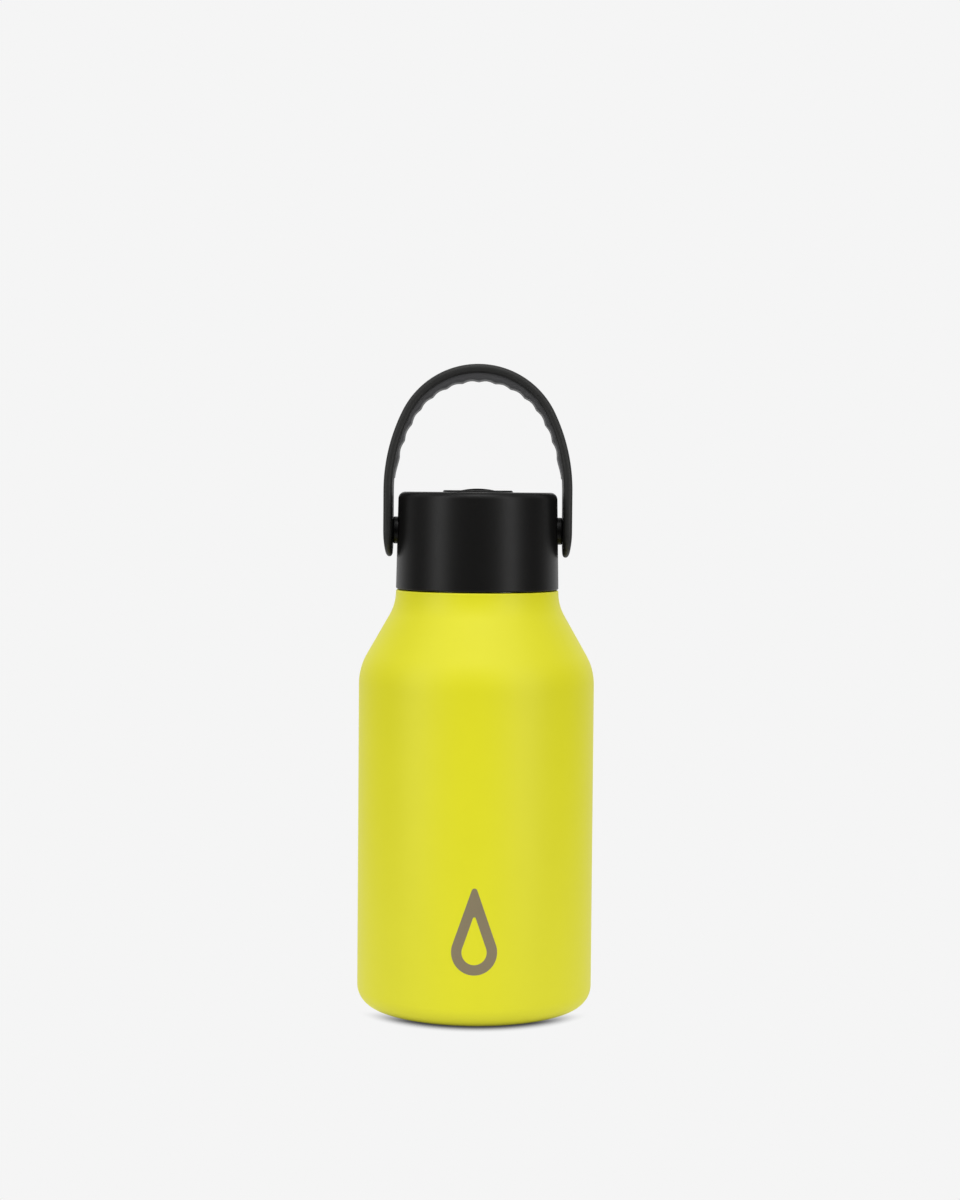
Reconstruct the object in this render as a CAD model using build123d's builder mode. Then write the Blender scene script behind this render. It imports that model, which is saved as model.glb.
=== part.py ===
from build123d import *
import os
from math import atan2, cos, pi, sin, tan

# A child's insulated water bottle: a double-wall steel vessel, a screw-on straw lid with a
# spout that folds into its top, and a bail handle that swings on the lid's two side bosses.
# Millimetres. Origin at the centre of the foot, +Z up, the folded spout points to -Y and the
# handle's pivots lie along X.

# Vessel
body_radius = 36.5
shell_wall = 0.6
foot_radius = 28.2            # inner wall of the foot ring
foot_height = 2.6
foot_edge = 1.0
base_corner_radius = 6.3
barrel_height = 105.1         # up to the corner between barrel and cone
shoulder_height = 19.9        # from that corner to the corner between cone and neck
shoulder_reach = 4.83         # how far the shoulder's round runs along the barrel and the cone
neck_radius = 25.2
neck_blend_reach = 3.91
neck_rise = 4.4               # from the cone's corner up to the ledge under the lid
ledge_edge_radius = 0.45
vacuum_gap = 2.0
liner_wall = 0.5
liner_shoulder_drop = 3.0
liner_neck_blend = 4.0
liner_seam_height = 14.0      # where the dished inner base is welded on
liner_base_height = 8.0
liner_base_corner = 5.4
lip_radius = 0.6

# Base trim and vacuum parts
base_plate_radius = 24.0
base_plate_thickness = 0.8
base_wall = 0.6
dimple_radius = 7.0
dimple_height = 1.4
dimple_bend = 1.2             # inside radius where the disc turns up into the dimple
evacuation_hole_radius = 0.6
seal_bead_radius = 2.2
seal_bead_height = 0.8
getter_radius = 4.5
getter_height = 2.2
getter_chamfer = 0.28
getter_offset = 16.0
getter_clip_width = 4.0
getter_clip_wall = 0.4

# Lid
lid_gap = 0.3                 # lid to ledge
lid_height = 30.0
lid_draft = 0.6               # the lid is this much smaller in radius at the top
lid_wall = 2.0
lid_plate = 2.0
lid_edge_radius = 2.2
snap_clearance = 0.1
cap_wall = 1.2
cap_deck = 1.6
cap_skirt_gap = 0.6           # the inner cap ends this far above the lid's lower edge
floor_thickness = 2.0         # under the spout pocket

# Thread
thread_pitch_share = 0.2963   # pitch as a share of the neck's height above the ledge
thread_turns = 1.0
thread_depth = 1.2
thread_clearance = 0.4
thread_base = 1.5             # axial width at the wall
thread_crest = 0.8
thread_sink = 0.3
thread_below_lip = 2.6        # upper end of the neck's thread

# Lid seal, straw and vent
seal_gap = 0.1
seal_thickness = 1.9
seal_edge = 0.3
seal_width = 2.4
seal_side_gap = 0.7
rib_gap = 0.4
rib_wall = 0.8
rib_depth = 1.4
straw_radius = 3.5
straw_wall = 0.75
straw_clearance = 0.08
straw_foot_gap = 2.0
straw_notch_radius = 1.8
socket_wall = 1.6
socket_depth = 16.0
straw_stop_gap = 0.3
passage_radius = 2.2
vent_stem_radius = 1.25
vent_flap_radius = 3.2
vent_flap_thickness = 0.7
vent_bulb_radius = 1.8
vent_bulb_height = 0.8
vent_hole_radius = 2.2

# Spout
spout_proud = 1.1             # crown of the folded spout above the lid's top
spout_radius = 5.8            # round heel about the pivot
spout_half_width = 7.3
spout_crown_rise = 1.1
spout_belly = 5.0             # from pivot down to the hard part's underside
spout_length_share = 0.75     # of the neck's radius, so that the spout stays inside the lid
spout_hard_length = 9.5
spout_clearance = 0.6
nipple_radius = 3.4
nipple_length = 5.0
mouth_width = 13.4
mouth_height = 10.2
mouth_tip_width = 10.6
mouth_tip_height = 7.6
mouth_corner = 3.4
mouth_tip_radius = 1.6
mouth_passage_radius = 1.7
pocket_side_gap = 2.1
pocket_front_gap = 1.7
pocket_back_gap = 1.6
pocket_corner_radius = 5.0
pocket_wall = 1.6
rim_width = 1.1
rim_height = 0.55
hinge_boss_radius = 3.2
hinge_boss_gap = 0.3
spout_pin_radius = 1.25
spout_pin_clearance = 0.05
spout_pin_depth = 3.7         # into the spout
seal_cup_radius = 5.4
seal_cup_edge = 0.4
seal_cup_gap = 0.4            # seal to the heel above it
foam_gap = 0.3
foam_side_gap = 1.2

# Handle
handle_half_width = 29.0
handle_thickness = 2.7
handle_width = 16.4
handle_rise = 51.1            # pivot to the outside of the crown
handle_crown_radius = 26.0
handle_straight = 12.2        # pivot to where the arms start to lean in
handle_outer_edge = 1.2
handle_inner_edge = 0.8
pivot_above_edge = 18.1       # pivot above the lid's lower edge
pivot_boss_radius = 4.2
pivot_boss_root = 0.67        # the boss starts this far out from the lid's bore
pivot_gap = 0.1
pivot_pin_radius = 2.53
pivot_pin_clearance = 0.07
pivot_pin_length = 2.8
grip_thickness = 2.4          # at the crown
grip_end_thickness = 0.85     # at the last ridge on each side
grip_taper = 1.5              # how sharply the thickness falls between them
grip_width = 13.0
grip_ramp = 6.5               # length over which the grip runs out below the last ridge
grip_toe = 0.3                # thickness left where it ends
flute_count = 14
flute_pitch = 5.65
flute_depth = 0.5

# Levels and radii that follow
cone_corner_z = barrel_height + shoulder_height
ledge_z = cone_corner_z + neck_rise
cone_angle = atan2(body_radius - neck_radius, shoulder_height)
shoulder_radius = shoulder_reach / tan(cone_angle / 2)
neck_blend_radius = neck_blend_reach / tan(cone_angle / 2)
lid_bottom_z = ledge_z + lid_gap
lid_top_z = lid_bottom_z + lid_height
lid_top_radius = neck_radius - lid_draft
lid_bore_radius = neck_radius - lid_wall
cap_radius = lid_bore_radius - snap_clearance
cap_bore_radius = cap_radius - cap_wall
crest_radius = cap_bore_radius - thread_clearance
liner_neck_radius = crest_radius - thread_depth
spout_pivot_z = lid_top_z + spout_proud - spout_radius
pocket_floor_z = spout_pivot_z - spout_radius - spout_clearance
deck_top_z = pocket_floor_z - floor_thickness
deck_z = deck_top_z - cap_deck
lip_z = deck_z - 2 * seal_gap - seal_thickness
thread_pitch = thread_pitch_share * (lip_z - ledge_z)
liner_radius = body_radius - shell_wall - vacuum_gap
liner_floor_z = liner_base_height + liner_wall
thread_start_z = lip_z - thread_below_lip - thread_pitch * thread_turns
socket_radius = straw_radius + straw_clearance
socket_top_z = deck_z - straw_stop_gap
seal_outer_radius = cap_bore_radius - seal_side_gap
rib_radius = seal_outer_radius - seal_width - rib_gap
vent_offset = (socket_radius + socket_wall + rib_radius - rib_wall) / 2
pivot_z = lid_bottom_z + pivot_above_edge
handle_inner_x = handle_half_width - handle_thickness
spout_length = spout_length_share * neck_radius
pocket_half_width = spout_half_width + pocket_side_gap
pocket_front_y = -(spout_length + pocket_front_gap)
pocket_back_y = spout_radius + pocket_back_gap
pocket_mid_y = (pocket_front_y + pocket_back_y) / 2
pocket_length = pocket_back_y - pocket_front_y

os.makedirs("parts", exist_ok=True)


def thread_ridge(root_radius, start_z, outward):
    """Return one right-hand thread ridge on a wall, reaching outward (1) or inward (-1)."""
    with BuildPart() as ridge:
        with BuildLine() as helix:
            Helix(thread_pitch, thread_pitch * thread_turns, root_radius, center=(0, 0, start_z))
        with BuildSketch(Plane(helix.line @ 0, x_dir=(1, 0, 0), z_dir=helix.line % 0)):
            Polygon(
                (-outward * thread_sink, -thread_base / 2),
                (outward * thread_depth, -thread_crest / 2),
                (outward * thread_depth, thread_crest / 2),
                (-outward * thread_sink, thread_base / 2),
                align=None,
            )
        sweep(path=helix.line, is_frenet=True)
    return ridge.part


def ring_section(inner_radius, outer_radius, low_z, high_z, mode=Mode.ADD):
    """Add or cut a rectangle between two radii and two levels in the sketch being built."""
    with Locations(((inner_radius + outer_radius) / 2, (low_z + high_z) / 2)):
        Rectangle(outer_radius - inner_radius, high_z - low_z, mode=mode)


def pocket_outline(margin):
    """Draw the spout pocket's outline, grown by a margin, in the sketch being built."""
    with Locations((0, pocket_mid_y)):
        RectangleRounded(
            2 * (pocket_half_width + margin),
            pocket_length + 2 * margin,
            pocket_corner_radius + margin,
        )


def across(x_start, x_end, radius, z, mode=Mode.ADD):
    """Add or cut a round bar along X between two positions in the part being built."""
    with Locations(Location(((x_start + x_end) / 2, 0, z), (0, 90, 0))):
        Cylinder(radius, abs(x_end - x_start), mode=mode)


# Outer shell: foot ring, barrel, shoulder, cone and the ledge that meets the liner's neck
with BuildPart() as outer_shell:
    with BuildSketch(Plane.XZ):
        with BuildLine():
            FilletPolyline(
                (foot_radius, foot_height),
                (foot_radius, 0),
                (body_radius, 0),
                (body_radius, barrel_height),
                (neck_radius, cone_corner_z),
                (neck_radius, ledge_z),
                (liner_neck_radius, ledge_z),
                radius=[
                    foot_edge,
                    base_corner_radius,
                    shoulder_radius,
                    neck_blend_radius,
                    ledge_edge_radius,
                ],
            )
            offset(amount=-shell_wall, side=Side.LEFT)
        make_face()
    revolve(axis=Axis.Z)
outer_shell.part.label = "outer_shell"
export_step(outer_shell.part, "parts/outer_shell.step")

# Outer base: stamped disc on the foot ring, with a dimple for the vacuum seal
with BuildPart() as outer_base:
    with BuildSketch(Plane.XZ):
        with BuildLine():
            FilletPolyline(
                (foot_radius + shell_wall, foot_height),
                (dimple_radius + dimple_height, foot_height),
                (dimple_radius, foot_height + dimple_height),
                (evacuation_hole_radius, foot_height + dimple_height),
                radius=[base_wall, dimple_bend],
            )
            offset(amount=-base_wall, side=Side.RIGHT)
        make_face()
    revolve(axis=Axis.Z)
outer_base.part.label = "outer_base"
export_step(outer_base.part, "parts/outer_base.step")

# Vacuum seal: solder bead under the evacuation hole, with a plug in it
with BuildPart() as vacuum_seal:
    with BuildSketch(Plane.XZ):
        ring_section(
            0, seal_bead_radius,
            foot_height + dimple_height - seal_bead_height, foot_height + dimple_height,
        )
        ring_section(
            0, evacuation_hole_radius,
            foot_height + dimple_height, foot_height + dimple_height + base_wall,
        )
    revolve(axis=Axis.Z)
    fillet(vacuum_seal.faces().sort_by(Axis.Z)[0].edges(), seal_bead_height / 2)
vacuum_seal.part.label = "vacuum_seal"
export_step(vacuum_seal.part, "parts/vacuum_seal.step")

# Base cover: plate bonded under the outer base, hiding the seal
with BuildPart() as base_cover:
    with BuildSketch(Plane.XY.offset(foot_height)):
        Circle(base_plate_radius)
    extrude(amount=-base_plate_thickness)
    fillet(base_cover.faces().sort_by(Axis.Z)[0].edges(), base_plate_thickness / 2)
base_cover.part.label = "base_cover"
export_step(base_cover.part, "parts/base_cover.step")

# Getter pellet and the clip that holds it in the vacuum space
getter_z = foot_height + base_wall
with BuildPart() as getter_pellet:
    with BuildSketch(Plane.XY.offset(getter_z)):
        with Locations((getter_offset, 0)):
            Circle(getter_radius)
    extrude(amount=getter_height)
    chamfer(getter_pellet.faces().sort_by(Axis.Z)[-1].edges(), getter_chamfer)
getter_pellet.part.label = "getter_pellet"
export_step(getter_pellet.part, "parts/getter_pellet.step")

with BuildPart() as getter_clip:
    clip_half = getter_radius + getter_clip_wall
    foot_length = getter_clip_width / 2
    with BuildSketch(Plane.YZ.offset(getter_offset - getter_clip_width / 2)):
        with BuildLine():
            Polyline(
                (-clip_half - foot_length, getter_z),
                (-clip_half, getter_z),
                (-clip_half, getter_z + getter_height + getter_clip_wall),
                (clip_half, getter_z + getter_height + getter_clip_wall),
                (clip_half, getter_z),
                (clip_half + foot_length, getter_z),
                (clip_half + foot_length, getter_z + getter_clip_wall),
                (clip_half + getter_clip_wall, getter_z + getter_clip_wall),
                (clip_half + getter_clip_wall, getter_z + getter_height + 2 * getter_clip_wall),
                (-clip_half - getter_clip_wall, getter_z + getter_height + 2 * getter_clip_wall),
                (-clip_half - getter_clip_wall, getter_z + getter_clip_wall),
                (-clip_half - foot_length, getter_z + getter_clip_wall),
                close=True,
            )
        make_face()
    extrude(amount=getter_clip_width)
getter_clip.part.label = "getter_clip"
export_step(getter_clip.part, "parts/getter_clip.step")

# Inner liner: vessel wall, shoulder and threaded neck with a rolled lip
liner_corner_z = (
    barrel_height - (shell_wall + vacuum_gap) * tan(cone_angle / 2) - liner_shoulder_drop
)
liner_cone_z = liner_corner_z + (liner_radius - liner_neck_radius) / tan(cone_angle)
neck_thread = thread_ridge(liner_neck_radius, thread_start_z, 1)
with BuildPart() as inner_liner:
    with BuildSketch(Plane.XZ):
        with BuildLine():
            FilletPolyline(
                (liner_radius, liner_seam_height),
                (liner_radius, liner_corner_z),
                (liner_neck_radius, liner_cone_z),
                (liner_neck_radius, lip_z - lip_radius),
                radius=[shoulder_radius - shell_wall - vacuum_gap, liner_neck_blend],
            )
            offset(amount=-liner_wall, side=Side.LEFT)
        make_face()
        with Locations((liner_neck_radius - lip_radius, lip_z - lip_radius)):
            Circle(lip_radius)
    revolve(axis=Axis.Z)
    add(neck_thread)
inner_liner.part.label = "inner_liner"
export_step(inner_liner.part, "parts/inner_liner.step")

# Inner base: dished bottom welded to the liner
with BuildPart() as inner_base:
    with BuildSketch(Plane.XZ):
        with BuildLine():
            FilletPolyline(
                (0, liner_base_height),
                (liner_radius, liner_base_height),
                (liner_radius, liner_seam_height),
                radius=[liner_base_corner],
            )
            offset(amount=-liner_wall, side=Side.LEFT)
        make_face()
    revolve(axis=Axis.Z)
inner_base.part.label = "inner_base"
export_step(inner_base.part, "parts/inner_base.step")

# Straw: tube on the axis, notched at its foot
straw_foot_z = liner_floor_z + straw_foot_gap
with BuildPart() as straw:
    with BuildSketch(Plane.XY.offset(straw_foot_z)):
        Circle(straw_radius)
        Circle(straw_radius - straw_wall, mode=Mode.SUBTRACT)
    extrude(amount=socket_top_z - straw_foot_z)
    across(-2 * straw_radius, 2 * straw_radius, straw_notch_radius, straw_foot_z, mode=Mode.SUBTRACT)
straw.part.label = "straw"
export_step(straw.part, "parts/straw.step")

# Lid seal: silicone ring on the lip
with BuildPart() as lid_seal:
    with BuildSketch(Plane.XZ):
        ring_section(
            seal_outer_radius - seal_width, seal_outer_radius,
            lip_z + seal_gap, lip_z + seal_gap + seal_thickness,
        )
    revolve(axis=Axis.Z)
    fillet(lid_seal.edges(), seal_edge)
lid_seal.part.label = "lid_seal"
export_step(lid_seal.part, "parts/lid_seal.step")

# Inner cap: threaded skirt, deck, seal rib and straw socket
cap_thread = thread_ridge(cap_bore_radius, thread_start_z - thread_pitch / 2, -1)
with BuildPart() as lid_inner:
    with BuildSketch(Plane.XZ):
        ring_section(cap_bore_radius, cap_radius, lid_bottom_z + cap_skirt_gap, deck_top_z)
        ring_section(passage_radius, cap_radius, deck_z, deck_top_z)
        ring_section(rib_radius - rib_wall, rib_radius, deck_z - rib_depth, deck_z)
        ring_section(passage_radius, socket_radius + socket_wall, socket_top_z, deck_z)
        ring_section(
            socket_radius, socket_radius + socket_wall, socket_top_z - socket_depth, socket_top_z
        )
    revolve(axis=Axis.Z)
    add(cap_thread)
    with Locations((0, -vent_offset, deck_top_z)):
        Hole(vent_stem_radius, depth=cap_deck + rib_depth)
lid_inner.part.label = "lid_inner"
export_step(lid_inner.part, "parts/lid_inner.step")

# Vent valve: silicone umbrella through the deck
with BuildPart() as vent_valve:
    with BuildSketch(Plane.XY.offset(deck_z - vent_flap_thickness)):
        with Locations((0, -vent_offset)):
            Circle(vent_flap_radius)
    extrude(amount=vent_flap_thickness)
    fillet(vent_valve.faces().sort_by(Axis.Z)[0].edges(), vent_flap_thickness / 2)
    with BuildSketch(Plane.XY.offset(deck_z)):
        with Locations((0, -vent_offset)):
            Circle(vent_stem_radius)
    extrude(amount=cap_deck)
    with BuildSketch(Plane.XY.offset(deck_top_z)):
        with Locations((0, -vent_offset)):
            Circle(vent_bulb_radius)
    extrude(amount=vent_bulb_height)
    fillet(vent_valve.faces().sort_by(Axis.Z)[-1].edges(), vent_bulb_height / 2)
vent_valve.part.label = "vent_valve"
export_step(vent_valve.part, "parts/vent_valve.step")

# Lid shell: drafted cup with the spout pocket, hinge bosses inside it and handle bosses outside
boss_inner_x = spout_half_width + hinge_boss_gap
boss_face_x = handle_inner_x - pivot_gap
with BuildPart() as lid_shell:
    with BuildSketch(Plane.XZ):
        with BuildLine():
            outside = FilletPolyline(
                (0, lid_top_z),
                (lid_top_radius, lid_top_z),
                (neck_radius, lid_bottom_z),
                radius=[lid_edge_radius],
            )
            Polyline(
                outside @ 1,
                (lid_bore_radius, lid_bottom_z),
                (lid_bore_radius, lid_top_z - lid_plate),
                (0, lid_top_z - lid_plate),
                outside @ 0,
            )
        make_face()
    revolve(axis=Axis.Z)
    with BuildSketch(Plane.XY.offset(deck_top_z)):
        pocket_outline(pocket_wall)
    extrude(amount=lid_top_z - lid_plate - deck_top_z)
    with BuildSketch(Plane.XY.offset(lid_top_z)):
        pocket_outline(rim_width)
    extrude(amount=rim_height)
    with BuildSketch(Plane.XY.offset(pocket_floor_z)):
        pocket_outline(0)
    extrude(amount=lid_height, mode=Mode.SUBTRACT)
    for side in (-1, 1):
        across(side * boss_inner_x, side * pocket_half_width, hinge_boss_radius, spout_pivot_z)
        across(
            side * boss_inner_x, side * (pocket_half_width + pocket_wall),
            spout_pin_radius, spout_pivot_z, mode=Mode.SUBTRACT,
        )
        across(side * (lid_bore_radius + pivot_boss_root), side * boss_face_x, pivot_boss_radius, pivot_z)
        across(
            side * (lid_bore_radius - lid_wall), side * boss_face_x,
            pivot_pin_radius + pivot_pin_clearance, pivot_z, mode=Mode.SUBTRACT,
        )
    with BuildSketch(Plane.XY.offset(deck_top_z)):
        Circle(seal_cup_radius)
        with Locations((0, -vent_offset)):
            Circle(vent_hole_radius)
    extrude(amount=floor_thickness, mode=Mode.SUBTRACT)
lid_shell.part.label = "lid_shell"
export_step(lid_shell.part, "parts/lid_shell.step")

# Foam insert: fills the lid around the spout pocket
with BuildPart() as insulation_foam:
    with BuildSketch(Plane.XY.offset(deck_top_z)):
        Circle(lid_bore_radius - foam_side_gap)
    extrude(amount=lid_top_z - lid_plate - foam_gap - deck_top_z)
    with BuildSketch(Plane.XY.offset(deck_top_z)):
        pocket_outline(pocket_wall + foam_gap)
    extrude(amount=lid_height, mode=Mode.SUBTRACT)
insulation_foam.part.label = "insulation_foam"
export_step(insulation_foam.part, "parts/insulation_foam.step")

# Spout seal: silicone cup in the pocket floor, under the spout's heel
with BuildPart() as spout_seal:
    with BuildSketch(Plane.XZ):
        ring_section(
            passage_radius, seal_cup_radius,
            deck_top_z, spout_pivot_z - spout_radius - seal_cup_gap,
        )
    revolve(axis=Axis.Z)
    fillet(spout_seal.faces().sort_by(Axis.Z)[-1].edges(), seal_cup_edge)
spout_seal.part.label = "spout_seal"
export_step(spout_seal.part, "parts/spout_seal.step")

# Spout pins: a steel stub on each side, pressed into the pocket's hinge bosses
spout_pin_tip_x = spout_half_width - spout_pin_depth
spout_pin_end_x = pocket_half_width + pocket_wall
with BuildPart() as spout_pins:
    for side in (-1, 1):
        across(side * spout_pin_tip_x, side * spout_pin_end_x, spout_pin_radius, spout_pivot_z)
spout_pins.part.label = "spout_pins"
export_step(spout_pins.part, "parts/spout_pins.step")

# Spout body: hard hinge block with a crowned top, a round heel and the nipple for the mouthpiece
with BuildPart() as spout_body:
    with BuildSketch(Plane.YZ):
        with Locations((0, spout_pivot_z)):
            Circle(spout_radius)
        with Locations((-spout_hard_length / 2, spout_pivot_z + (spout_radius - spout_belly) / 2)):
            Rectangle(spout_hard_length, spout_radius + spout_belly)
    extrude(amount=spout_half_width, both=True)
    with BuildSketch(Plane.XZ):
        with BuildLine():
            crown_side_z = spout_pivot_z + spout_radius - spout_crown_rise
            low_z = spout_pivot_z - spout_radius
            Polyline(
                (-spout_half_width, crown_side_z),
                (-spout_half_width, low_z),
                (spout_half_width, low_z),
                (spout_half_width, crown_side_z),
            )
            ThreePointArc(
                (spout_half_width, crown_side_z),
                (0, spout_pivot_z + spout_radius),
                (-spout_half_width, crown_side_z),
            )
        make_face()
    extrude(amount=2 * spout_length, both=True, mode=Mode.INTERSECT)
    with BuildSketch(Plane.XZ.offset(spout_hard_length)):
        with Locations((0, spout_pivot_z)):
            Circle(nipple_radius)
    extrude(amount=nipple_length)
    with BuildSketch(Plane.XZ.offset(-2 * spout_radius)):
        with Locations((0, spout_pivot_z)):
            Circle(passage_radius)
    extrude(amount=2 * spout_length, mode=Mode.SUBTRACT)
    for side in (-1, 1):
        across(
            side * (spout_pin_tip_x - spout_pin_clearance), side * 2 * spout_half_width,
            spout_pin_radius + spout_pin_clearance, spout_pivot_z, mode=Mode.SUBTRACT,
        )
spout_body.part.label = "spout_body"
export_step(spout_body.part, "parts/spout_body.step")

# Mouthpiece: soft sleeve over the nipple, narrowing to the tip
with BuildPart() as mouthpiece:
    with BuildSketch(Plane.XZ.offset(spout_hard_length)):
        with Locations((0, spout_pivot_z)):
            RectangleRounded(mouth_width, mouth_height, mouth_corner)
    with BuildSketch(Plane.XZ.offset(spout_length)):
        with Locations((0, spout_pivot_z)):
            RectangleRounded(mouth_tip_width, mouth_tip_height, mouth_corner)
    loft()
    fillet(mouthpiece.faces().sort_by(Axis.Y)[0].edges(), mouth_tip_radius)
    with BuildSketch(Plane.XZ.offset(spout_hard_length)):
        with Locations((0, spout_pivot_z)):
            Circle(nipple_radius)
    extrude(amount=nipple_length, mode=Mode.SUBTRACT)
    with BuildSketch(Plane.XZ.offset(spout_hard_length)):
        with Locations((0, spout_pivot_z)):
            Circle(mouth_passage_radius)
    extrude(amount=spout_length, mode=Mode.SUBTRACT)
mouthpiece.part.label = "mouthpiece"
export_step(mouthpiece.part, "parts/mouthpiece.step")

# Handle arch: straight arms, sides that lean in on a wide arc, and a tighter crown
arch_z = pivot_z + handle_straight
crown_z = pivot_z + handle_rise - handle_crown_radius
arch_rise = crown_z - arch_z
side_radius = (handle_half_width**2 + arch_rise**2 - handle_crown_radius**2) / (
    2 * (handle_half_width - handle_crown_radius)
)
side_angle = atan2(arch_rise, side_radius - handle_half_width) * 180 / pi


def arch(inset, start_angle):
    """Draw the arch, inset from its outside, from an angle on each side arc to the other."""
    side_centre = handle_half_width - side_radius
    sweep_angle = side_angle - start_angle
    CenterArc((side_centre, arch_z), side_radius - inset, start_angle, sweep_angle)
    CenterArc((0, crown_z), handle_crown_radius - inset, side_angle, 180 - 2 * side_angle)
    CenterArc((-side_centre, arch_z), side_radius - inset, 180 - side_angle, sweep_angle)


with BuildPart() as handle:
    mid_x = handle_half_width - handle_thickness / 2
    with BuildLine(Plane.XZ) as handle_path:
        Line((mid_x, pivot_z), (mid_x, arch_z))
        arch(handle_thickness / 2, 0)
        Line((-mid_x, arch_z), (-mid_x, pivot_z))
    with BuildSketch(Plane((mid_x, 0, pivot_z), x_dir=(1, 0, 0), z_dir=(0, 0, 1))) as strap:
        Rectangle(handle_thickness, handle_width)
        fillet(strap.vertices().group_by(Axis.X)[-1], handle_outer_edge)
        fillet(strap.vertices().group_by(Axis.X)[0], handle_inner_edge)
    sweep(path=handle_path.line)
    for side in (-1, 1):
        with BuildSketch(Plane.XZ) as end_section:
            with Locations((side * mid_x, pivot_z - handle_width / 4)):
                Rectangle(handle_thickness, handle_width / 2)
            low = end_section.vertices().group_by(Axis.Y)[0].sort_by(Axis.X)
            fillet(low[-1], handle_outer_edge if side > 0 else handle_inner_edge)
            low = end_section.vertices().group_by(Axis.Y)[0].sort_by(Axis.X)
            fillet(low[0], handle_inner_edge if side > 0 else handle_outer_edge)
        revolve(axis=Axis((0, 0, pivot_z), (1, 0, 0)))
        across(
            side * (handle_inner_x - pivot_pin_length), side * mid_x, pivot_pin_radius, pivot_z
        )
handle.part.label = "handle"
export_step(handle.part, "parts/handle.step")

# Handle grip: soft pad under the arch, thickest at the crown and fluted for the fingers
grip_half = flute_count * flute_pitch / 2
crown_inside = handle_crown_radius - handle_thickness
side_inside = side_radius - handle_thickness
crown_run = crown_inside * (90 - side_angle) * pi / 180
toe_angle = side_angle - (grip_half + grip_ramp - crown_run) / side_inside * 180 / pi


def grip_spot(run, depth):
    """Return the point at a run along the strap's inside from the crown, a depth off it."""
    centre_x, centre_z = 0, crown_z
    radius = crown_inside - depth
    angle = pi / 2 - abs(run) / crown_inside
    if abs(run) > crown_run:
        centre_x, centre_z = handle_half_width - side_radius, arch_z
        radius = side_inside - depth
        angle = side_angle * pi / 180 - (abs(run) - crown_run) / side_inside
    x = centre_x + radius * cos(angle)
    return (x if run > 0 else -x, centre_z + radius * sin(angle))


def grip_depth(run):
    """Return the grip's thickness over its ridges at a run along the strap's inside."""
    swell = cos(pi / 2 * abs(run) / (grip_half + flute_depth)) ** grip_taper
    return grip_end_thickness + (grip_thickness - grip_end_thickness) * swell


with BuildPart() as handle_grip:
    ridges = [(step - flute_count / 2) * flute_pitch for step in range(flute_count + 1)]
    toe_run = grip_half + grip_ramp
    with BuildSketch(Plane.XZ):
        with BuildLine():
            arch(handle_thickness, toe_angle)
            crest = Spline([grip_spot(run, grip_depth(run)) for run in ridges])
            Polyline(grip_spot(-toe_run, 0), grip_spot(-toe_run, grip_toe), crest @ 0)
            Polyline(crest @ 1, grip_spot(toe_run, grip_toe), grip_spot(toe_run, 0))
        make_face()
    extrude(amount=grip_width / 2, both=True)
    flute_radius = (flute_pitch**2 / 4 + flute_depth**2) / (2 * flute_depth)
    with BuildSketch(Plane.XZ):
        for step in range(flute_count):
            run = (step - (flute_count - 1) / 2) * flute_pitch
            with Locations(grip_spot(run, grip_depth(run) - flute_depth + flute_radius)):
                Circle(flute_radius)
    extrude(amount=grip_width, both=True, mode=Mode.SUBTRACT)
handle_grip.part.label = "handle_grip"
export_step(handle_grip.part, "parts/handle_grip.step")
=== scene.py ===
"""Looks for a child's insulated bottle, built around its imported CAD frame.

Lengths in the classes are millimetres; meshes are scaled to metres when they are finished.
"""
import logging
import math
from dataclasses import dataclass
from enum import Enum
from functools import cache

import bmesh
import bpy
from mathutils import Matrix, Vector


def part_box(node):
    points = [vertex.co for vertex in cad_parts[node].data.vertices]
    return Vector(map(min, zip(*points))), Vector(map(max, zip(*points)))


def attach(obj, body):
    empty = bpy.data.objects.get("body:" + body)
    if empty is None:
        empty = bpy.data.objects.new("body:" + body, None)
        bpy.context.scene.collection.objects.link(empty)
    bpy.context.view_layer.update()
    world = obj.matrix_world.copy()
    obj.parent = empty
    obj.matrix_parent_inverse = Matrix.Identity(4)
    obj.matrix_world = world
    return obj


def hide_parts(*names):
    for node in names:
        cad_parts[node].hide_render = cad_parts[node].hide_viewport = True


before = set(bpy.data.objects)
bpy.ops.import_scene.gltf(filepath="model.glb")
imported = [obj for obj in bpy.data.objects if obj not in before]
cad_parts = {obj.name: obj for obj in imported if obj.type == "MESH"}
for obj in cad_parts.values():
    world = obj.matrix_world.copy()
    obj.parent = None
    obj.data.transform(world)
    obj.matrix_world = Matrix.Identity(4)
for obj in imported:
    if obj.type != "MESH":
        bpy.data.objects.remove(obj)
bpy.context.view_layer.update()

BMesh = bmesh.types.BMesh
Vert = bmesh.types.BMVert
Edge = bmesh.types.BMEdge
Face = bmesh.types.BMFace
Tree = bpy.types.NodeTree
Socket = bpy.types.NodeSocket

log = logging.getLogger("bottle")
MM = 0.001
TURN = 2 * math.pi
CLOUD_SIZE = 12.0  # patches over which a tint drifts
SCATTER_DEPTH = 2.0  # how far light goes into the milky finishes
X_AXIS = Vector((1, 0, 0))
Y_AXIS = Vector((0, 1, 0))
Z_AXIS = Vector((0, 0, 1))


# --- Materials ---


def linear(hex_colour: str) -> tuple[float, float, float, float]:
    """Turn an sRGB hex colour into linear light.

    Args:
        hex_colour: Six hexadecimal digits after a hash sign.
    Returns:
        Red, green, blue and an alpha of one.
    """
    levels = [int(hex_colour[i:i + 2], 16) / 255 for i in (1, 3, 5)]
    red, green, blue = (
        v / 12.92 if v <= 0.04045 else ((v + 0.055) / 1.055) ** 2.4 for v in levels
    )
    return red, green, blue, 1.0


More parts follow.
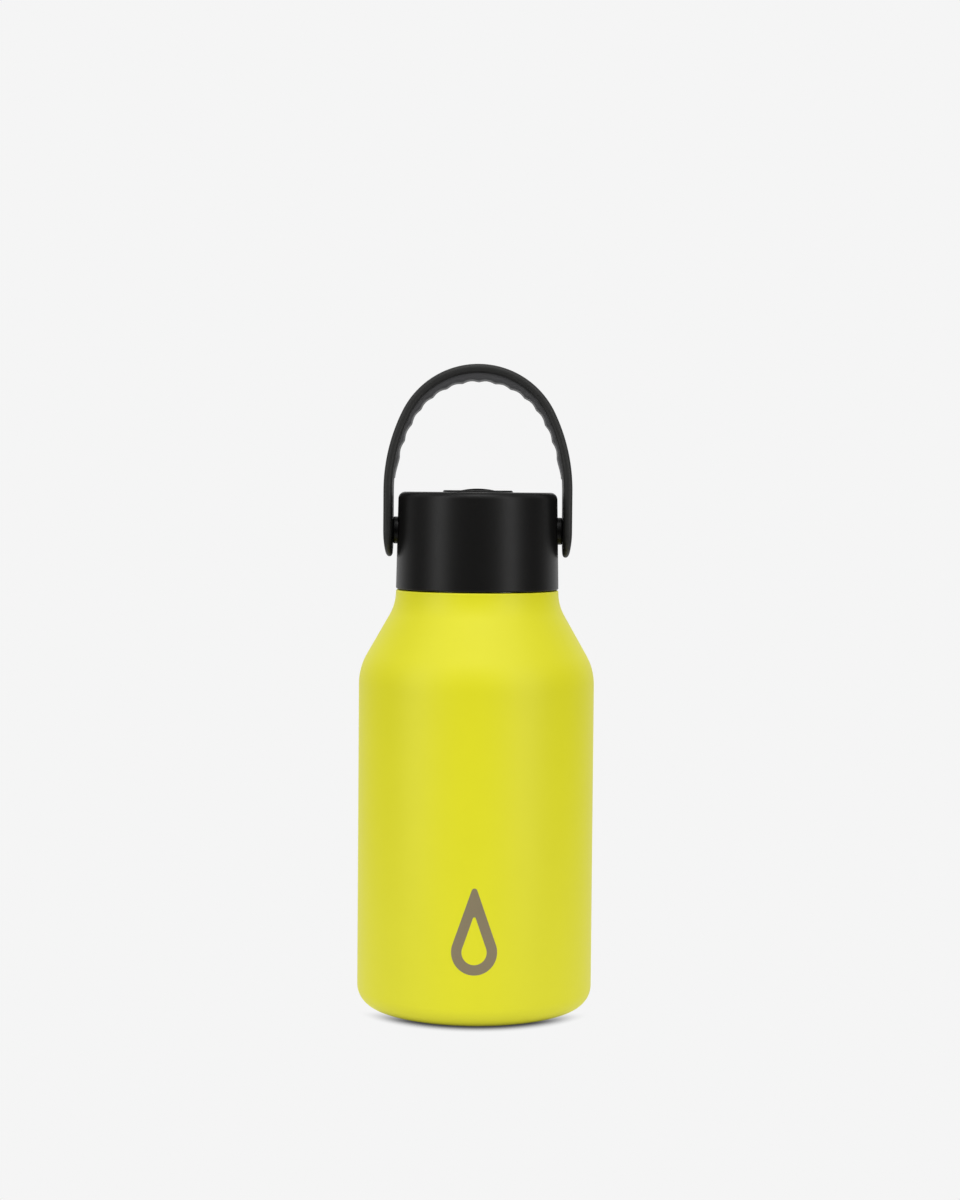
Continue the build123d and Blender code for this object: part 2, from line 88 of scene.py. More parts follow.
def add_node(
    tree: Tree, kind: str, settings: dict | None = None, links: dict | None = None
) -> bpy.types.Node:
    """Add a node with its settings and links.

    Args:
        tree: Node tree that receives the node.
        kind: Blender's name for the node type.
        settings: Attributes or input defaults by name.
        links: Output sockets to join, by input name or number.
    Returns:
        The new node.
    """
    node = tree.nodes.new(kind)
    for name, value in (settings or {}).items():
        if hasattr(node, str(name)):
            setattr(node, name, value)
        else:
            node.inputs[name].default_value = value
    for name, socket in (links or {}).items():
        tree.links.new(socket, node.inputs[name])
    return node


def smooth_range(
    tree: Tree, value: Socket, low: float, high: float,
    to_low: float = 0.0, to_high: float = 1.0
) -> Socket:
    """Ease a value's range into another one and return the result."""
    eased = add_node(
        tree, "ShaderNodeMapRange",
        {"interpolation_type": "SMOOTHSTEP", "From Min": low, "From Max": high,
         "To Min": to_low, "To Max": to_high},
        {"Value": value},
    )
    return eased.outputs["Result"]


class Pattern(Enum):
    """How a finish's fine surface runs."""

    EVEN = "even"
    AROUND = "around"


@dataclass(frozen=True)
class Finish:
    """One real material and how its surface was made.

    Scales are in millimetres; tints and roughness vary between their two values.
    """

    name: str
    tint: str
    tint_variation: str
    roughness: float
    roughness_variation: float
    grain: float
    grain_height: float
    metallic: float = 0.0
    ior: float = 1.5
    coat: float = 0.0
    coat_roughness: float = 0.3
    sheen: float = 0.0
    transmission: float = 0.0
    subsurface: float = 0.0
    pattern: Pattern = Pattern.EVEN

    def material(self) -> bpy.types.Material:
        """Build the finish as a procedural material on Object coordinates."""
        known = bpy.data.materials.get(self.name)
        if known:
            return known
        material = bpy.data.materials.new(self.name)
        material.use_nodes = True
        tree = material.node_tree
        shader = tree.nodes["Principled BSDF"]
        coordinates = add_node(tree, "ShaderNodeTexCoord")
        place = coordinates.outputs["Object"]
        if self.pattern is Pattern.AROUND:
            place = self._around(tree, place)
        cloud = add_node(
            tree, "ShaderNodeTexNoise",
            {"Scale": 1 / (CLOUD_SIZE * MM), "Detail": 3.0, "Roughness": 0.55},
            {"Vector": coordinates.outputs["Object"]},
        )
        grain = add_node(
            tree, "ShaderNodeTexNoise",
            {"Scale": 1 / (self.grain * MM), "Detail": 2.0, "Roughness": 0.5},
            {"Vector": place},
        )
        tint = add_node(
            tree, "ShaderNodeMix",
            {"data_type": "RGBA"},
            {"Factor": cloud.outputs["Fac"]},
        )
        tint.inputs[6].default_value = linear(self.tint)
        tint.inputs[7].default_value = linear(self.tint_variation)
        rough = add_node(
            tree, "ShaderNodeMapRange",
            {"From Min": 0.3, "From Max": 0.7, "To Min": self.roughness,
             "To Max": self.roughness + self.roughness_variation},
            {"Value": grain.outputs["Fac"]},
        )
        bump = add_node(
            tree, "ShaderNodeBump",
            {"Strength": 1.0, "Distance": self.grain_height * MM},
            {"Height": grain.outputs["Fac"]},
        )
        tree.links.new(tint.outputs[2], shader.inputs["Base Color"])
        tree.links.new(rough.outputs["Result"], shader.inputs["Roughness"])
        tree.links.new(bump.outputs["Normal"], shader.inputs["Normal"])
        values = {
            "Metallic": self.metallic, "Coat Weight": self.coat,
            "Coat Roughness": self.coat_roughness, "Sheen Weight": self.sheen,
            "Transmission Weight": self.transmission, "Subsurface Weight": self.subsurface,
            "Subsurface Scale": SCATTER_DEPTH * MM,
        }
        if not self.metallic:
            values["IOR"] = self.ior
        for name, value in values.items():
            shader.inputs[name].default_value = value
        return material

    @staticmethod
    def _around(tree: Tree, place: Socket) -> Socket:
        """Turn Object coordinates into radius and height, so the grain runs round the axis."""
        parts = add_node(tree, "ShaderNodeSeparateXYZ", links={"Vector": place})
        flat = add_node(
            tree, "ShaderNodeCombineXYZ",
            links={"X": parts.outputs["X"], "Y": parts.outputs["Y"]},
        )
        radius = add_node(
            tree, "ShaderNodeVectorMath", {"operation": "LENGTH"}, {0: flat.outputs["Vector"]}
        )
        joined = add_node(
            tree, "ShaderNodeCombineXYZ",
            links={"X": radius.outputs["Value"], "Z": parts.outputs["Z"]},
        )
        return joined.outputs["Vector"]


# Lime polyester powder coat, sprayed and baked: even colour with a fine orange-peel texture
POWDER_COAT = Finish(
    "powder_coat_lime", "#E2DE12", "#DEDA0E", 0.5, 0.08, 0.55, 0.012, ior=1.42, coat=0.2,
    coat_roughness=0.5,
)
# Polypropylene moulded in a satin-etched tool: black with a soft, slightly broken reflection
SATIN_PP = Finish(
    "satin_polypropylene_black", "#0F0F0E", "#111010", 0.37, 0.08, 0.35, 0.006, ior=1.3
)
# Glass-filled polypropylene for the handle: duller and a little greyer than the lid
HANDLE_PP = Finish(
    "matt_polypropylene_black", "#222221", "#262625", 0.5, 0.1, 0.4, 0.01, ior=1.4
)
# Thermoplastic elastomer moulded over the strap: dark grey and dull
GRIP_TPE = Finish(
    "soft_touch_elastomer", "#4D4D4E", "#48484A", 0.62, 0.12, 0.3, 0.01, sheen=0.15
)
# Food silicone, moulded: milky and soft
SILICONE = Finish(
    "moulded_silicone", "#D8D7D0", "#D2D1CA", 0.5, 0.1, 0.4, 0.004, ior=1.41, subsurface=0.4
)
# Black food silicone for the mouthpiece
SOFT_BLACK = Finish(
    "black_silicone", "#202021", "#242425", 0.5, 0.1, 0.3, 0.005, ior=1.41, sheen=0.1
)
# Polypropylene tube, extruded: cloudy and see-through
STRAW_PP = Finish(
    "extruded_polypropylene", "#E6E8EA", "#DFE2E5", 0.3, 0.1, 0.5, 0.003, ior=1.49,
    transmission=0.55,
)
# Stainless steel, drawn and electropolished: faint drawing lines round the vessel
DRAWN_STEEL = Finish(
    "drawn_stainless_steel", "#B9B6B1", "#C2BFBA", 0.26, 0.14, 0.18, 0.004, metallic=1.0,
    pattern=Pattern.AROUND,
)
# Steel bared by laser through the coat: dull and brownish
ETCHED_STEEL = Finish(
    "laser_etched_steel", "#8E8266", "#877B60", 0.5, 0.12, 0.25, 0.01, metallic=0.35
)
# Closed-cell polyethylene foam
FOAM = Finish("closed_cell_foam", "#E9E8E2", "#DEDDD6", 0.85, 0.1, 0.8, 0.08)
# Tin solder left as it set
SOLDER = Finish("cast_solder", "#A9A9AC", "#9C9CA0", 0.42, 0.15, 0.9, 0.03, metallic=1.0)
# Sintered metal powder
SINTERED = Finish("sintered_getter", "#57565A", "#4B4A4D", 0.75, 0.1, 0.25, 0.05, metallic=0.6)


# --- Mesh helpers ---


@cache
def node_box(node: str) -> tuple[Vector, Vector]:
    """Return a CAD node's lowest and highest corners in millimetres."""
    low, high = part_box(node)
    return low / MM, high / MM


def pick(parts: list, kind: type) -> list:
    """Return the parts of one kind: vertices, edges or faces."""
    return [part for part in parts if isinstance(part, kind)]


def rotate(bm: BMesh, verts: list, angle: float, axis: str) -> None:
    """Turn vertices about the origin, round one axis."""
    matrix = Matrix.Rotation(angle, 3, axis)
    bmesh.ops.rotate(bm, cent=(0, 0, 0), matrix=matrix, verts=verts)


def add_object(name: str, data: bpy.types.ID) -> bpy.types.Object:
    """Put a mesh, a camera or a lamp in the scene."""
    thing = bpy.data.objects.new(name, data)
    bpy.context.scene.collection.objects.link(thing)
    return thing


def rounded_path(corners: list, radii: list, steps: int = 10) -> list[Vector]:
    """Round the corners of a path in the radius and height plane.

    Args:
        corners: Radius and height of each corner, ends included.
        radii: One radius for each inner corner.
        steps: Segments in each rounded corner.
    Returns:
        The points of the rounded path.
    """
    points = [Vector(corner) for corner in corners]
    path = [points[0]]
    for before, corner, after, radius in zip(points, points[1:], points[2:], radii):
        back = (before - corner).normalized()
        ahead = (after - corner).normalized()
        half = back.angle(ahead) / 2
        reach = radius / math.tan(half)
        centre = corner + (back + ahead).normalized() * (radius / math.sin(half))
        start = corner + back * reach - centre
        turn = start.angle_signed(corner + ahead * reach - centre)
        for step in range(steps + 1):
            spoke = start.copy()
            spoke.rotate(Matrix.Rotation(-turn * step / steps, 2))
            path.append(centre + spoke)
    path.append(points[-1])
    return path


def offset_corners(corners: list, distance: float) -> list[Vector]:
    """Move a path's corners sideways so that its runs shift by a distance to the left."""
    points = [Vector(corner) for corner in corners]
    runs = [(after - before).normalized() for before, after in zip(points, points[1:])]
    sides = [Vector((-run.y, run.x)) for run in runs]
    moved = [points[0] + sides[0] * distance]
    for corner, left, right in zip(points[1:-1], sides, sides[1:]):
        bisector = (left + right).normalized()
        moved.append(corner + bisector * distance / bisector.dot(left))
    moved.append(points[-1] + sides[-1] * distance)
    return moved


def turned_radii(corners: list, radii: list, distance: float) -> list[float]:
    """Return the radii that a path's corners have after a shift to the left."""
    points = [Vector(corner) for corner in corners]
    result = []
    for before, corner, after, radius in zip(points, points[1:], points[2:], radii):
        leftward = (corner - before).cross(after - corner) > 0
        result.append(max(radius - distance, 0.05) if leftward else radius + distance)
    return result


def spin_loop(bm: BMesh, path: list, segments: int, closed: bool = True) -> None:
    """Spin a path in the radius and height plane once round Z.

    Args:
        bm: Mesh that receives the surface.
        path: Points of radius and height.
        segments: Steps in the full turn.
        closed: Whether the path's last point joins its first.
    """
    verts = [bm.verts.new((point[0], 0, point[1])) for point in path]
    pairs = list(zip(verts, verts[1:])) + ([(verts[-1], verts[0])] if closed else [])
    edges = [bm.edges.new(pair) for pair in pairs]
    bmesh.ops.spin(
        bm, geom=verts + edges, cent=(0, 0, 0), axis=Z_AXIS, angle=TURN, steps=segments,
        use_merge=True,
    )


def wall_paths(corners: list, radii: list, wall: float) -> tuple[list, list]:
    """Return both sides of a sheet-metal wall, from its outside corners and thickness."""
    inner_radii = turned_radii(corners, radii, wall)
    return rounded_path(corners, radii), rounded_path(offset_corners(corners, wall), inner_radii)


def ring_edges(bm: BMesh, verts: list) -> list[Edge]:
    """Join vertices into a closed ring of edges."""
    return [bm.edges.new(pair) for pair in zip(verts, verts[1:] + verts[:1])]


def bridge(bm: BMesh, loops: list) -> None:
    """Join each loop of edges to the next one with faces."""
    for one, other in zip(loops, loops[1:]):
        bmesh.ops.bridge_loops(bm, edges=one + other)


def add_boss(
    bm: BMesh, side: int, root: float, face: float, radius: float, z: float, edge: float
) -> None:
    """Add one round boss along X, with a soft edge on its face.

    Args:
        bm: Mesh that receives the boss.
        side: 1 on the right, -1 on the left.
        root: Distance of its root from the middle.
        face: Distance of its face from the middle.
        radius: Its radius.
        z: Height of its axis.
        edge: Radius of the soft edge.
    """
    length = face - root
    path = rounded_path([(0, 0), (radius, 0), (radius, length), (0, length)], [0.05, edge], 5)
    before = set(bm.verts)
    spin_loop(bm, path, 48, closed=False)
    fresh = [vert for vert in bm.verts if vert not in before]
    rotate(bm, fresh, side * math.pi / 2, "Y")
    bmesh.ops.translate(bm, vec=(side * root, 0, z), verts=fresh)


@dataclass
class Dressing:
    """What a finished piece is called, made of, and does."""

    name: str
    finish: Finish
    body: str
    nodes: tuple[str, ...]
    slot: str
    crease: float = 35.0


def finish_piece(bm: BMesh, dress: Dressing) -> bpy.types.Object:
    """Turn a mesh in millimetres into a piece that rides on its body.

    Args:
        bm: The mesh, which is freed.
        dress: Its name, finish, body and the CAD nodes it stands for.
    Returns:
        The new object, at the origin.
    """
    bmesh.ops.remove_doubles(bm, verts=bm.verts, dist=1e-4)
    bmesh.ops.dissolve_degenerate(bm, edges=bm.edges, dist=1e-5)
    bmesh.ops.recalc_face_normals(bm, faces=bm.faces)
    bmesh.ops.scale(bm, vec=(MM, MM, MM), verts=bm.verts)
    mesh = bpy.data.meshes.new(dress.name)
    bm.to_mesh(mesh)
    bm.free()
    mesh.materials.append(dress.finish.material())
    mesh.shade_smooth()
    mesh.set_sharp_from_angle(angle=math.radians(dress.crease))
    piece = add_object(dress.name, mesh)
    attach(piece, dress.body)
    if dress.nodes:
        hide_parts(*dress.nodes)
    log.info("%s: %d faces on %s", dress.name, len(mesh.polygons), dress.body)
    return piece


def dress_nodes(finishes: dict[str, Finish]) -> None:
    """Give CAD nodes their finishes through their material slots."""
    for node, finish in finishes.items():
        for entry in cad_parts[node].material_slots:
            entry.material = finish.material()
        log.info("%s: CAD node in %s", node, finish.name)


# --- Vessel ---


@dataclass
class Vessel:
    """The double-wall steel body: coated shell, base, liner and the drop-shaped mark."""

    body_radius: float = 36.5
    wall: float = 0.6
    foot_radius: float = 28.2
    foot_height: float = 2.6
    foot_edge: float = 1.0
    base_corner: float = 6.3
    barrel_height: float = 105.1
    shoulder_height: float = 19.9
    shoulder_radius: float = 18.3
    neck_radius: float = 25.2
    neck_blend: float = 14.8
    neck_rise: float = 4.4
    ledge_edge: float = 0.45
    liner_neck: float = 20.3
    liner_radius: float = 33.9
    liner_wall: float = 0.5
    liner_drop: float = 3.0
    liner_neck_blend: float = 4.0
    liner_seam: float = 14.0
    lip: float = 0.6
    thread_below_lip: float = 2.6
    mark_width: float = 13.7
    mark_height: float = 26.0
    mark_middle: float = 29.5
    mark_stroke: float = 3.1
    mark_tip: float = 0.9
    mark_depth: float = 0.05
    mark_lift: float = 0.02

    @property
    def lip_z(self) -> float:
        """Height of the neck's lip."""
        return node_box("inner_liner")[1].z

    def coated_shell(self) -> None:
        """Spin the coated outer shell from its foot ring to the ledge under the lid."""
        corner_z = self.barrel_height + self.shoulder_height
        ledge_z = corner_z + self.neck_rise
        corners = [
            (self.foot_radius, self.foot_height), (self.foot_radius, 0), (self.body_radius, 0),
            (self.body_radius, self.barrel_height), (self.neck_radius, corner_z),
            (self.neck_radius, ledge_z), (self.liner_neck, ledge_z),
        ]
        radii = [
            self.foot_edge, self.base_corner, self.shoulder_radius, self.neck_blend,
            self.ledge_edge,
        ]
        bm = bmesh.new()
        outside, inside = wall_paths(corners, radii, self.wall)
        spin_loop(bm, outside + inside[::-1], 256)
        dress = Dressing("coated_shell", POWDER_COAT, "bottle", ("outer_shell",), "powder_coat")
        finish_piece(bm, dress)

    def liner(self) -> None:
        """Spin the steel liner and wind its neck thread."""
        gap = self.body_radius - self.liner_radius
        slope = math.atan2(self.body_radius - self.neck_radius, self.shoulder_height)
        corner_z = self.barrel_height - gap * math.tan(slope / 2) - self.liner_drop
        cone_z = corner_z + (self.liner_radius - self.liner_neck) / math.tan(slope)
        corners = [
            (self.liner_radius, self.liner_seam), (self.liner_radius, corner_z),
            (self.liner_neck, cone_z), (self.liner_neck, self.lip_z - self.lip),
        ]
        radii = [self.shoulder_radius - gap, self.liner_neck_blend]
        bm = bmesh.new()
        outside, inside = wall_paths(corners, radii, self.liner_wall)
        lip_middle = Vector((self.liner_neck - self.lip, self.lip_z - self.lip))
        curl = [
            lip_middle + Vector((math.cos(angle), math.sin(angle))) * self.lip
            for angle in (math.radians(degrees) for degrees in range(0, 271, 30))
        ]
        inside_end = inside[-1] - Vector((0, self.lip * 1.5))
        spin_loop(bm, outside[:-1] + curl + [inside_end] + inside[-2::-1], 192)
        thread_z = self.lip_z - self.thread_below_lip - Thread.pitch
        Thread(self.liner_neck, thread_z, 1).wind(bm)
        dress = Dressing("steel_liner", DRAWN_STEEL, "bottle", ("inner_liner",), "bare_steel")
        finish_piece(bm, dress)

    def mark(self) -> None:
        """Lay a plain water-drop outline on the front of the barrel, in bared steel."""
        bm = bmesh.new()
        bands = 4
        loops = []
        for band in range(bands + 1):
            points = self._drop(self.mark_stroke * band / bands)
            verts = [bm.verts.new((x, self._front(x), z)) for x, z in points]
            loops.append(ring_edges(bm, verts))
        bridge(bm, loops)
        bmesh.ops.solidify(bm, geom=bm.faces[:], thickness=self.mark_depth)
        finish_piece(bm, Dressing("drop_mark", ETCHED_STEEL, "bottle", (), "bare_steel"))

    def _drop(self, inset: float) -> list[tuple[float, float]]:
        """Return the drop's outline in X and Z, moved in by an inset.

        The outline is a round foot and a small round tip, joined by two straight sides.
        """
        foot, tip = self.mark_width / 2, self.mark_tip
        foot_steps, tip_steps = 48, 10
        foot_z = self.mark_middle - self.mark_height / 2 + foot
        tip_z = self.mark_middle + self.mark_height / 2 - tip
        lean = math.asin((foot - tip) / (tip_z - foot_z))
        inner_tip = tip * (1 - inset / self.mark_stroke * 0.5)
        inner_foot = foot - inset
        inner_tip_z = foot_z + (inner_foot - inner_tip) / math.sin(lean)
        arcs = [
            (inner_foot, foot_z, math.pi - lean, TURN + lean, foot_steps),
            (inner_tip, inner_tip_z, lean, math.pi - lean, tip_steps),
        ]
        points = []
        for radius, centre_z, start, end, steps in arcs:
            for step in range(steps + 1):
                angle = start + (end - start) * step / steps
                points.append((radius * math.cos(angle), centre_z + radius * math.sin(angle)))
        return self._fill_sides(points, foot_steps)

    @staticmethod
    def _fill_sides(points: list, last: int, steps: int = 14) -> list[tuple[float, float]]:
        """Add points along the outline's two straight sides.

        Args:
            points: The outline's foot, then its tip.
            last: Number of the foot's last point.
            steps: Segments in each side.
        Returns:
            The whole outline.
        """
        (x0, z0), (x1, z1) = points[last:last + 2]
        right = [
            (x0 + (x1 - x0) * step / steps, z0 + (z1 - z0) * step / steps)
            for step in range(1, steps)
        ]
        left = [(-x, z) for x, z in right[::-1]]
        return points[:last + 1] + right + points[last + 1:] + left

    def _front(self, x: float) -> float:
        """Return the Y of the barrel's front surface at X, lifted by a hair."""
        return -math.sqrt((self.body_radius + self.mark_lift) ** 2 - x * x)

    def build(self) -> None:
        """Build and dress the vessel."""
        self.coated_shell()
        self.liner()
        self.mark()
        dress_nodes({
            "outer_base": POWDER_COAT, "base_cover": DRAWN_STEEL, "vacuum_seal": SOLDER,
            "getter_pellet": SINTERED, "getter_clip": DRAWN_STEEL, "inner_base": DRAWN_STEEL,
        })


@dataclass
class Thread:
    """One turn of a right-hand thread ridge on a wall."""

    root_radius: float
    start_z: float
    outward: int
    pitch: float = 4.0
    depth: float = 1.2
    base: float = 1.5
    crest: float = 0.8
    steps: int = 120
    run_out: int = 9
    thin: float = 0.02
    sink: float = 0.25

    def wind(self, bm: BMesh) -> None:
        """Wind the ridge into the mesh, fading it in and out at its ends."""
        root, tip = -self.outward * self.sink, self.outward * self.depth
        section = [
            (root, -self.base / 2), (tip, -self.crest / 2),
            (tip, self.crest / 2), (root, self.base / 2),
        ]
        verts = [bm.verts.new((0, 0, 0)) for _ in section]
        self._place(verts, section, 0)
        face = bm.faces.new(verts)
        parts = [face, *face.edges, *face.verts]
        for step in range(1, self.steps + 1):
            parts = bmesh.ops.spin(
                bm, geom=parts, cent=(0, 0, 0), axis=Z_AXIS,
                dvec=(0, 0, self.pitch / self.steps), angle=TURN / self.steps, steps=1,
            )["geom_last"]
            ring = sorted(pick(parts, Vert), key=lambda vert: vert.co.z)
            self._place(ring, section, step)

    def _place(self, ring: list, section: list, step: int) -> None:
        """Put one ring of the ridge at its step round the wall."""
        fade = min(1.0, step / self.run_out, (self.steps - step) / self.run_out)
        share = self.thin + (1 - self.thin) * math.sin(fade * math.pi / 2)
        angle = TURN * step / self.steps
        for vert, (reach, rise) in zip(ring, section):
            radius = self.root_radius + (reach * share if abs(reach) == self.depth else reach)
            height = self.start_z + self.pitch * step / self.steps + rise
            vert.co = Vector((radius * math.cos(angle), radius * math.sin(angle), height))


# --- Lid ---


def rounded_rectangle(
    bm: BMesh, width: float, length: float, corner: float, middle_y: float, z: float
) -> list[Edge]:
    """Add the outline of a rectangle with round corners and return its edges."""
    verts = bmesh.ops.create_grid(bm, x_segments=1, y_segments=1, size=0.5)["verts"]
    bmesh.ops.scale(bm, vec=(width, length, 1), verts=verts)
    bmesh.ops.translate(bm, vec=(0, middle_y, z), verts=verts)
    rounded = bmesh.ops.bevel(
        bm, geom=verts, offset=corner, affect="VERTICES", segments=12, profile=0.5, material=-1
    )
    face = rounded["verts"][0].link_faces[0]
    edges = list(face.edges)
    bmesh.ops.delete(bm, geom=[face], context="FACES_ONLY")
    return edges


def circle_edges(bm: BMesh, radius: float, segments: int, z: float) -> list[Edge]:
    """Add a circle at a height and return its edges."""
    ring = bmesh.ops.create_circle(bm, radius=radius, segments=segments, cap_ends=False)["verts"]
    bmesh.ops.translate(bm, vec=(0, 0, z), verts=ring)
    return list({edge for vert in ring for edge in vert.link_edges})


@dataclass
class Lid:
    """The black screw lid: shell with the spout pocket, inner cap, seal and vent."""

    radius: float = 25.2
    draft: float = 0.6
    wall: float = 2.0
    plate: float = 2.0
    edge: float = 2.2
    flat_gap: float = 0.02
    foot_edge: float = 0.5
    pocket_half_width: float = 9.4
    pocket_front: float = -20.6
    pocket_back: float = 7.4
    pocket_corner: float = 5.0
    pocket_wall: float = 1.6
    rim_width: float = 1.1
    rim_height: float = 0.55
    rim_edge: float = 0.25
    floor_edge: float = 0.8
    floor_bevel: float = 0.25
    floor_thickness: float = 2.0
    floor_depth: float = 11.1
    floor_hole: float = 5.4
    hinge_boss_radius: float = 3.2
    hinge_boss_inner: float = 7.6
    hinge_boss_sink: float = 0.4
    hinge_boss_edge: float = 0.3
    pin_radius: float = 1.25
    pivot_boss_radius: float = 4.2
    pivot_boss_face: float = 26.2
    pivot_boss_sink: float = 0.6
    pivot_boss_edge: float = 0.5
    pivot_rise: float = 18.1
    cap_radius: float = 23.1
    cap_bore: float = 21.9
    deck: float = 1.6
    skirt_gap: float = 0.6
    rib_outer: float = 18.4
    rib_inner: float = 17.6
    rib_depth: float = 1.4
    socket_radius: float = 5.18
    socket_bore: float = 3.58
    drink_bore: float = 2.2
    thread_offset: float = 2.6
    thread_lead: float = 2.0

    @property
    def foot_z(self) -> float:
        """Height of the lid's lower edge."""
        return node_box("lid_shell")[0].z

    @property
    def top_z(self) -> float:
        """Height of the lid's flat top."""
        return node_box("lid_shell")[1].z - self.rim_height

    def pocket_loop(self, bm: BMesh, margin: float, z: float) -> list:
        """Add the spout pocket's outline, grown by a margin, at a height."""
        width = 2 * (self.pocket_half_width + margin)
        length = self.pocket_back - self.pocket_front + 2 * margin
        middle = (self.pocket_front + self.pocket_back) / 2
        return rounded_rectangle(bm, width, length, self.pocket_corner + margin, middle, z)

    def shell(self) -> None:
        """Build the lid's outer shell with its rimmed pocket and bosses."""
        segments = 256
        bore = self.radius - self.wall
        foot, top = self.foot_z, self.top_z
        under = top - self.plate
        floor = top - self.floor_depth
        rim_radius = self.radius - self.draft
        flat_end = rim_radius - self.edge - self.flat_gap
        path = rounded_path(
            [(flat_end, top), (rim_radius, top), (self.radius, foot), (bore, foot), (bore, under)],
            [self.edge, self.foot_edge, self.foot_edge / 2],
        )
        bm = bmesh.new()
        spin_loop(bm, path, segments, closed=False)
        rim, soft = self.rim_width, self.rim_edge
        cut = soft * 0.3
        crest = top + self.rim_height
        inside = [
            (rim + soft, top), (rim + cut, top + cut), (rim, crest - soft),
            (rim - cut, crest - cut), (rim - soft, crest), (soft, crest), (cut, crest - cut),
            (0, crest - soft), (0, floor + self.floor_edge),
            (-self.floor_bevel, floor + self.floor_bevel), (-self.floor_edge, floor),
        ]
        low = floor - self.floor_thickness
        loops = [circle_edges(bm, flat_end, segments, top)]
        loops += [self.pocket_loop(bm, margin, z) for margin, z in inside]
        loops += [circle_edges(bm, self.floor_hole, 64, z) for z in (floor, low)]
        loops += [self.pocket_loop(bm, self.pocket_wall, z) for z in (low, under)]
        loops.append(circle_edges(bm, bore, segments, under))
        bridge(bm, loops)
        pin_low = node_box("spout_pins")[0].z
        for side in (-1, 1):
            add_boss(
                bm, side, bore + self.pivot_boss_sink, self.pivot_boss_face,
                self.pivot_boss_radius, foot + self.pivot_rise, self.pivot_boss_edge,
            )
            add_boss(
                bm, side, self.pocket_half_width + self.hinge_boss_sink, self.hinge_boss_inner,
                self.hinge_boss_radius, pin_low + self.pin_radius, self.hinge_boss_edge,
            )
        finish_piece(bm, Dressing("lid_outer", SATIN_PP, "lid", ("lid_shell",), "lid_plastic"))

    def inner_cap(self) -> None:
        """Spin the inner cap: skirt, deck, seal rib and straw socket, and wind its thread."""
        deck_top = self.top_z - self.floor_depth - self.floor_thickness
        deck = deck_top - self.deck
        skirt = self.foot_z + self.skirt_gap
        socket_low = node_box("lid_inner")[0].z
        stop = node_box("straw")[1].z
        rib_low = deck - self.rib_depth
        path = rounded_path(
            [
                (self.drink_bore, deck_top), (self.cap_radius, deck_top),
                (self.cap_radius, skirt), (self.cap_bore, skirt), (self.cap_bore, deck),
                (self.rib_outer, deck), (self.rib_outer, rib_low),
                (self.rib_inner, rib_low), (self.rib_inner, deck),
                (self.socket_radius, deck), (self.socket_radius, socket_low),
                (self.socket_bore, socket_low), (self.socket_bore, stop),
                (self.drink_bore, stop), (self.drink_bore, deck_top),
            ],
            [0.3, 0.3, 0.3, 0.6, 0.3, 0.3, 0.3, 0.3, 0.8, 0.4, 0.3, 0.2, 0.2],
            4,
        )
        bm = bmesh.new()
        spin_loop(bm, path[:-1], 160)
        lip = node_box("inner_liner")[1].z
        thread_z = lip - self.thread_offset - Thread.pitch - self.thread_lead
        Thread(self.cap_bore, thread_z, -1).wind(bm)
        finish_piece(bm, Dressing("inner_cap", SATIN_PP, "lid", ("lid_inner",), "cap_plastic"))

    def build(self) -> None:
        """Build and dress the lid."""
        self.shell()
        self.inner_cap()
        dress_nodes({
            "vent_valve": SILICONE, "insulation_foam": FOAM, "spout_seal": SILICONE,
            "spout_pins": DRAWN_STEEL, "lid_seal": SILICONE,
        })


# --- Spout and straw ---


